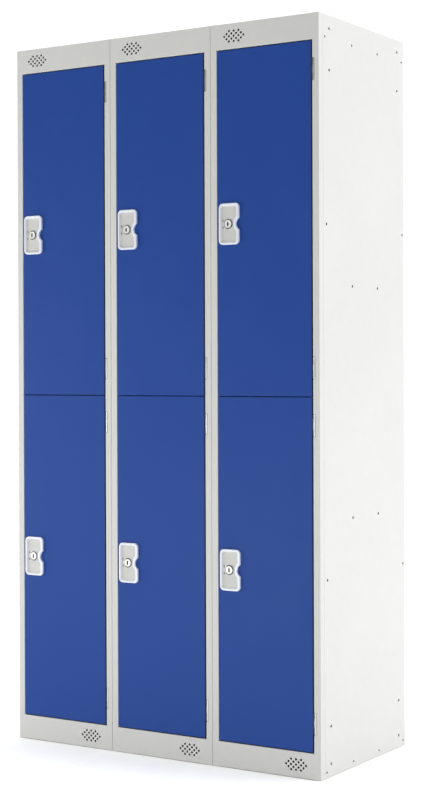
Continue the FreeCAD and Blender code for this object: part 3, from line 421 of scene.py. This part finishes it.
def escutcheon(tier, column, lock):
    """Rolled rim with a bluish painted reflection, sloped dish in painted shade and a round hole for the
    lock, notched on the right.
    """
    node = f"{tier}_door_{column}_escutcheon"
    low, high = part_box(node)
    half_width, half_height = (high.x - low.x) / 2, (high.z - low.z) / 2
    centre = ((low.x + high.x) / 2, (low.z + high.z) / 2)
    floor = 2 * MM
    rings, marks = [], []
    for inset, height in rim_profile(high.y - low.y, floor):
        lean = 1.6 * MM * min(inset / (5 * MM), 1.0)
        loop = plate_loop(half_width, half_height, inset, lean)
        rings.append(facing_front(centre, loop, -height))
        # High bands take the rim plastic with its bluish painted reflection, low bands the darker dish
        # plastic in painted shade.
        marks.append(0 if height > floor + 0.2 * MM else 1)
    outer = loop
    shift = lock[0] - centre[0]
    start = math.atan2(outer[0][1], outer[0][0] - shift)
    for share in (0.25, 0.5, 0.75, 1.0):
        inner = []
        for step, (x, z) in enumerate(outer):
            angle = start + math.tau * step / len(outer)
            round_x, round_z = shift + LOCK_HOLE * math.cos(angle), LOCK_HOLE * math.sin(angle)
            inner.append((x + (round_x - x) * share, z + (round_z - z) * share))
        rings.append(facing_front(centre, inner, -floor))
        marks.append(1)
    skin = Skin()
    skin.lay(rings, marks)
    for side in (-1, 1):
        shadow_topped_bar(skin, (lock[0] - 15.2 * MM, lock[1] + side * 8.5 * MM), floor)
    piece(f"{node}_fine", skin.mesh(node), f"{tier}_door_{column}",
          [PAINT["silver_plastic"], SHADED_DISH, PAINTED_SHADOW], [node])


def shadow_topped_bar(skin, centre, floor):
    """A short raised bar beside the lock, its top painted shadow black."""
    loops = [slot_loop(16, half, half + 2.4 * MM) for half in (1.1 * MM, 1.0 * MM, 0.8 * MM)]
    rings = [facing_front(centre, loops[0], -floor + 0.1 * MM),
             facing_front(centre, loops[1], -floor - 0.3 * MM),
             facing_front(centre, loops[2], -floor - 0.4 * MM)]
    skin.lay(rings, [1, 2], cap_last=True)


# --- cam lock --------------------------------------------------------------------------

ROUND = 64


def lock_barrel(tier, column, lock):
    """Fixed barrel: chamfered collar with a groove round the plug painted shadow black, threaded shank
    and nut.
    """
    node = f"{tier}_door_{column}_lock_barrel"
    collar = [(9.0, -1.9), (13.0, -1.9), (13.0, -2.7), (12.85, -3.0), (12.6, -3.1), (12.2, -3.1),
              (11.95, -2.95), (11.9, -2.7), (11.8, -2.1), (10.0, -2.1), (6.1, -2.1), (6.1, 18.0)]
    # Marks: zinc on the collar, painted shadow black in the groove and on its floor, chrome down the
    # bore.
    marks = [2, 2, 2, 2, 2, 2, 1, 1, 1, 1, 0]
    skin = Skin()
    skin.lay([facing_front(lock, around(ROUND, r * MM), y * MM) for r, y in collar], marks)
    thread = [(9.0, -1.9), (9.0, 0.6)]
    for turn in range(16):
        foot = 0.9 + turn * 1.0
        thread += [(8.35, foot), (9.0, foot + 0.45), (9.0, foot + 0.6)]
    thread += [(8.5, 17.3), (8.2, 18.0), (6.1, 18.0)]
    skin.lay([facing_front(lock, around(ROUND, r * MM), y * MM) for r, y in thread],
             [0] * (len(thread) - 1))
    hexagon = [(8.4, 0.95, 8.4), (12.0, 0.95, 12.4), (12.0, 1.35, 14.0), (12.0, 4.9, 14.0),
               (12.0, 5.35, 12.4), (9.6, 5.4, 9.6), (8.6, 4.9, 8.6)]
    rings = [facing_front(lock, around(ROUND, polygon_reach(6, flat * MM, limit * MM)), y * MM)
             for flat, y, limit in hexagon]
    skin.lay(rings, [0] * (len(rings) - 1))
    piece(f"{node}_fine", skin.mesh(node), f"{tier}_door_{column}",
          [PAINT["lock_chrome"], PAINTED_SHADOW, PAINT["zinc_steel"]], [node])


def lock_plug(tier, column, lock):
    """Turning plug: dished face round an upright key slot, shaft and square drive; its side wall and the
    key slot are painted shadow black.
    """
    node = f"{tier}_door_{column}_lock_plug"
    skin = Skin()
    rings = [facing_front(lock, around(ROUND, r * MM), y * MM)
             for r, y in ((5.8, 15.5), (5.8, -2.3), (9.7, -2.3), (9.7, -3.9), (9.8, -3.95), (9.8, -4.4),
                          (9.6, -4.7), (9.2, -4.85), (8.5, -4.85), (8.1, -4.7), (7.4, -4.65),
                          (6.6, -4.65))]
    rings += [facing_front(lock, slot_loop(ROUND, half_width * MM, half_height * MM), y * MM)
              for half_width, half_height, y in ((2.5, 5.7, -4.65), (2.1, 5.2, -4.5),
                                                 (1.9, 4.9, -4.1), (1.85, 4.85, -1.2))]
    # The step behind the face, the plug's side wall and the key slot's walls and floor take painted
    # shadow black.
    skin.lay(rings, [0, 1, 1] + [0] * 10 + [1, 1], cap_last=True)
    shaft = [facing_front(lock, around(ROUND, r * MM), y * MM)
             for r, y in ((5.8, 15.5), (5.8, 19.9), (5.5, 20.2), (5.0, 20.2))]
    square = polygon_reach(4, 3.5 * MM, 4.7 * MM)
    shaft += [facing_front(lock, around(ROUND, square), y * MM) for y in (20.2, 22.5)]
    skin.lay(shaft, [0] * (len(shaft) - 1), cap_last=True)
    piece(f"{node}_fine", skin.mesh(node), f"{tier}_lock_{column}",
          [PAINT["lock_chrome"], PAINTED_SHADOW], [node])


# --- rivets and welds ------------------------------------------------------------------

def column_left(column):
    """Where a column's left side stands."""
    return (column - (len(COLUMNS) + 1) / 2 - 0.5) * COLUMN_WIDTH


def column_sides(column):
    """Both sides of a column, each with the way that points into it."""
    left = column_left(column)
    return (left, 1), (left + COLUMN_WIDTH, -1)


def facing_side(centre, loop, x):
    """A plane loop in Y and Z at a place across the locker."""
    return [(x, centre[0] + y, centre[1] + z) for y, z in loop]


def rivets():
    """Hollow rivets: a flush rim with a deep bore outside and a rolled tail inside, each bore painted
    shadow black.
    """
    skin = Skin()
    outside = ((3.0, 0.55), (3.0, 0.14), (2.93, 0.05), (2.8, 0.05), (2.7, 0.14), (2.6, 2.6))
    inside = ((3.0, 1.6), (3.8, 1.75), (4.0, 2.1), (3.9, 2.45), (3.4, 2.7), (2.8, 2.55), (2.5, 2.2))
    for column in COLUMNS:
        for face, way in column_sides(column):
            for place in [(row, z * MM) for row in FIXING_ROWS for z in (14, 1747)]:
                # The bore outside and the hole in the tail inside are painted shadow black.
                for profile, marks in ((outside, [0, 0, 0, 0, 1]), (inside, [0, 0, 0, 0, 0, 1])):
                    skin.lay([facing_side(place, around(20, r * MM), face + way * x * MM)
                              for r, x in profile], marks, cap_last=True)
    piece("tray_rivets_fine", skin.mesh("tray_rivets"), "root",
          [PAINT["frame_paint"], PAINTED_SHADOW], ["tray_rivets"])


def weld_marks():
    """Shallow painted-over spot welds on both outer sides and down the back flanges."""
    skin = Skin()
    dimple = ((3.4, 0.0), (3.0, 0.05), (2.2, 0.11), (1.3, 0.13), (0.6, 0.10))
    sunk, flange = 0.01, 11 * MM
    for face, way in ((CAD_BOX[0][0], -1), (CAD_BOX[1][0], 1)):
        for z in (49, 887, 1789):
            for row in FIXING_ROWS:
                place = (row, z * MM)
                skin.lay([facing_side(place, around(24, r * MM), face + way * (h - sunk) * MM)
                          for r, h in dimple], [0] * 4, cap_last=True)
    for column in COLUMNS:
        for x in [side + way * flange for side, way in column_sides(column)]:
            for row in range(9):
                place = (x, (100 + 200 * row) * MM)
                skin.lay([facing_front(place, around(24, r * MM), DEPTH + (h - sunk) * MM)
                          for r, h in dimple], [0] * 4, cap_last=True)
    piece("weld_marks", skin.mesh("weld_marks"), "root", [PAINT["frame_paint"]])


def rail_joints():
    """Weld run and ground flush where each rail meets its two stiles, front face only."""
    skin = Skin()
    section = [(STILE_WIDTH + x * MM, y * MM)
               for x, y in ((-2.1, 0.02), (-1.8, -0.015), (0.25, -0.015), (0.3, 0.02),
                            (0, 0.75), (-0.6, 0.75))]
    for column in COLUMNS:
        for edge, way in column_sides(column):
            for base in (0, HEIGHT - RAIL_HEIGHT):
                rings = [[(edge + way * x, FRONT + y, base + rise * RAIL_HEIGHT)
                          for x, y in section] for rise in (0.03, 0.2, 0.4, 0.6, 0.8, 0.97)]
                skin.lay(rings, [0] * 5, cap_first=True, cap_last=True)
    piece("rail_joints", skin.mesh("rail_joints"), "root", [PAINT["frame_paint"]])


def fine_pieces():
    """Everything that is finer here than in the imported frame, locks and plates first."""
    for tier in TIERS:
        for column in COLUMNS:
            low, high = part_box(f"{tier}_door_{column}_lock_plug")
            lock = ((low.x + high.x) / 2, (low.z + high.z) / 2)
            escutcheon(tier, column, lock)
            lock_barrel(tier, column, lock)
            lock_plug(tier, column, lock)
    rivets()
    weld_marks()
    rail_joints()


# --- floor, light and camera -----------------------------------------------------------

def floor():
    """A plain pale floor just under the locker."""
    work = bmesh.new()
    bmesh.ops.create_grid(work, x_segments=8, y_segments=8, size=30.0)
    mesh = bpy.data.meshes.new("floor")
    work.to_mesh(mesh)
    work.free()
    ground = bpy.data.objects.new("floor", mesh)
    bpy.context.scene.collection.objects.link(ground)
    g = Graph("pale_floor", **{"Specular IOR Level": 0.1})
    speck = g.spread(g.noise(g.place(), 40.0, 3.0), 0.3, 0.7)
    mesh.materials.append(g.finish(**{"Base Color": g.mix(speck, (0.93, 0.93, 0.92), (0.96, 0.96, 0.95)),
                                      "Roughness": g.spread(speck, 0, 1, 0.8, 0.9)}))
    ground.location.z = -0.0005


def area_light(name, place, target, size, power, tint=(1, 1, 1)):
    """A rectangular soft box that faces its target."""
    data = bpy.data.lights.new(name, "AREA")
    data.shape, data.size, data.size_y = "RECTANGLE", size[0], size[1]
    data.energy, data.color = power, tint
    lamp = bpy.data.objects.new(name, data)
    bpy.context.scene.collection.objects.link(lamp)
    lamp.location = place
    lamp.rotation_mode = "QUATERNION"
    lamp.rotation_quaternion = (Vector(target) - Vector(place)).to_track_quat("-Z", "Y")


def lighting():
    """Soft boxes left front, low in front and right rear, a wide sun above and an even wash."""
    area_light("left_front", (-3.0, -1.5, 0.6), (-0.3, 0, 0.6), (1.6, 1.6), 42)
    area_light("low_front", (-0.5, -2.3, 0.3), (-0.2, 0, 0.25), (1.6, 0.5), 7)
    area_light("right_rear", (5.0, 1.6, 1.9), (0.3, 0, 0.9), (3.6, 3.8), 200,
               (0.965, 0.963, 1.0))
    down = bpy.data.lights.new("down", "SUN")
    down.energy, down.angle = 2.36, math.radians(25)
    lamp = bpy.data.objects.new("down", down)
    bpy.context.scene.collection.objects.link(lamp)
    lamp.location = (0, 0, 6)
    world = bpy.data.worlds.new("studio")
    world.use_nodes = True
    tree = world.node_tree
    tree.nodes.clear()
    seen = tree.nodes.new("ShaderNodeBackground")
    seen.inputs["Color"].default_value = (1, 1, 1, 1)
    seen.inputs["Strength"].default_value = 1.1
    soft = tree.nodes.new("ShaderNodeBackground")
    soft.inputs["Color"].default_value = (0.985, 0.99, 1.0, 1)
    soft.inputs["Strength"].default_value = 0.40
    path = tree.nodes.new("ShaderNodeLightPath")
    mix = tree.nodes.new("ShaderNodeMixShader")
    out = tree.nodes.new("ShaderNodeOutputWorld")
    tree.links.new(path.outputs["Is Camera Ray"], mix.inputs["Fac"])
    tree.links.new(soft.outputs[0], mix.inputs[1])
    tree.links.new(seen.outputs[0], mix.inputs[2])
    tree.links.new(mix.outputs[0], out.inputs["Surface"])
    bpy.context.scene.world = world
    bpy.context.scene.view_settings.view_transform = "Standard"


def camera():
    """A camera at the locker's mid height, out in front of its right-hand corner."""
    place = Vector((2.336, FRONT - 3.451, 0.970))
    turn, tilt, roll = math.radians(32.38), math.radians(-0.34), math.radians(-0.20)
    ahead = Vector((-math.sin(turn) * math.cos(tilt), math.cos(turn) * math.cos(tilt), math.sin(tilt)))
    right = Vector((math.cos(turn), math.sin(turn), 0))
    up = right.cross(ahead)
    right, up = (math.cos(roll) * right + math.sin(roll) * up,
                 -math.sin(roll) * right + math.cos(roll) * up)
    data = bpy.data.cameras.new("camera")
    data.sensor_width, data.lens, data.shift_y = 36.0, 75.54, -0.0283
    data.clip_start, data.clip_end = 0.1, 100
    eye = bpy.data.objects.new("camera", data)
    bpy.context.scene.collection.objects.link(eye)
    eye.matrix_world = Matrix.Translation(place) @ Matrix((right, up, -ahead)).transposed().to_4x4()
    bpy.context.scene.camera = eye


floor()
lighting()
camera()
paint_frame()
fine_pieces()
